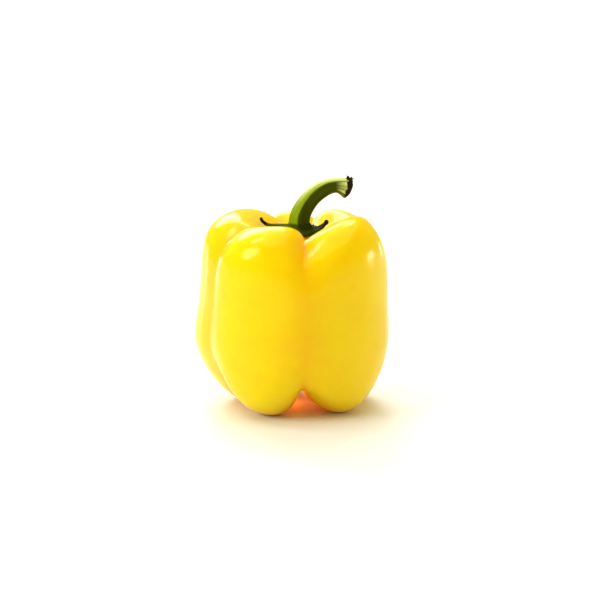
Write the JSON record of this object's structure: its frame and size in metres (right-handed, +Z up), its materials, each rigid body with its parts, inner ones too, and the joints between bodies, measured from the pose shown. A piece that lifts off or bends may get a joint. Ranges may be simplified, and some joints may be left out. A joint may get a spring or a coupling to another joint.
{
  "type": "bell pepper",
  "caption": "Blocky lobed yellow sweet pepper that stands on its lobes, with a green stalk that arches out of a toothed calyx in the well at its top.",
  "frame": {"origin": "middle of the overall box, on the surface that the pepper stands on", "axes": "+Z up, -Y towards the viewer of the picture, +X to the viewer's right, which is where the stalk's cut end points"},
  "size_m": [0.0858, 0.0836, 0.0992],
  "materials": {
    "skin": "smooth waxy gloss",
    "stalk": "satin, dry and brown at the cut end"
  },
  "bodies": {
    "root": {"pod": "skin", "stem": "stalk"}
  },
  "joints": []
}
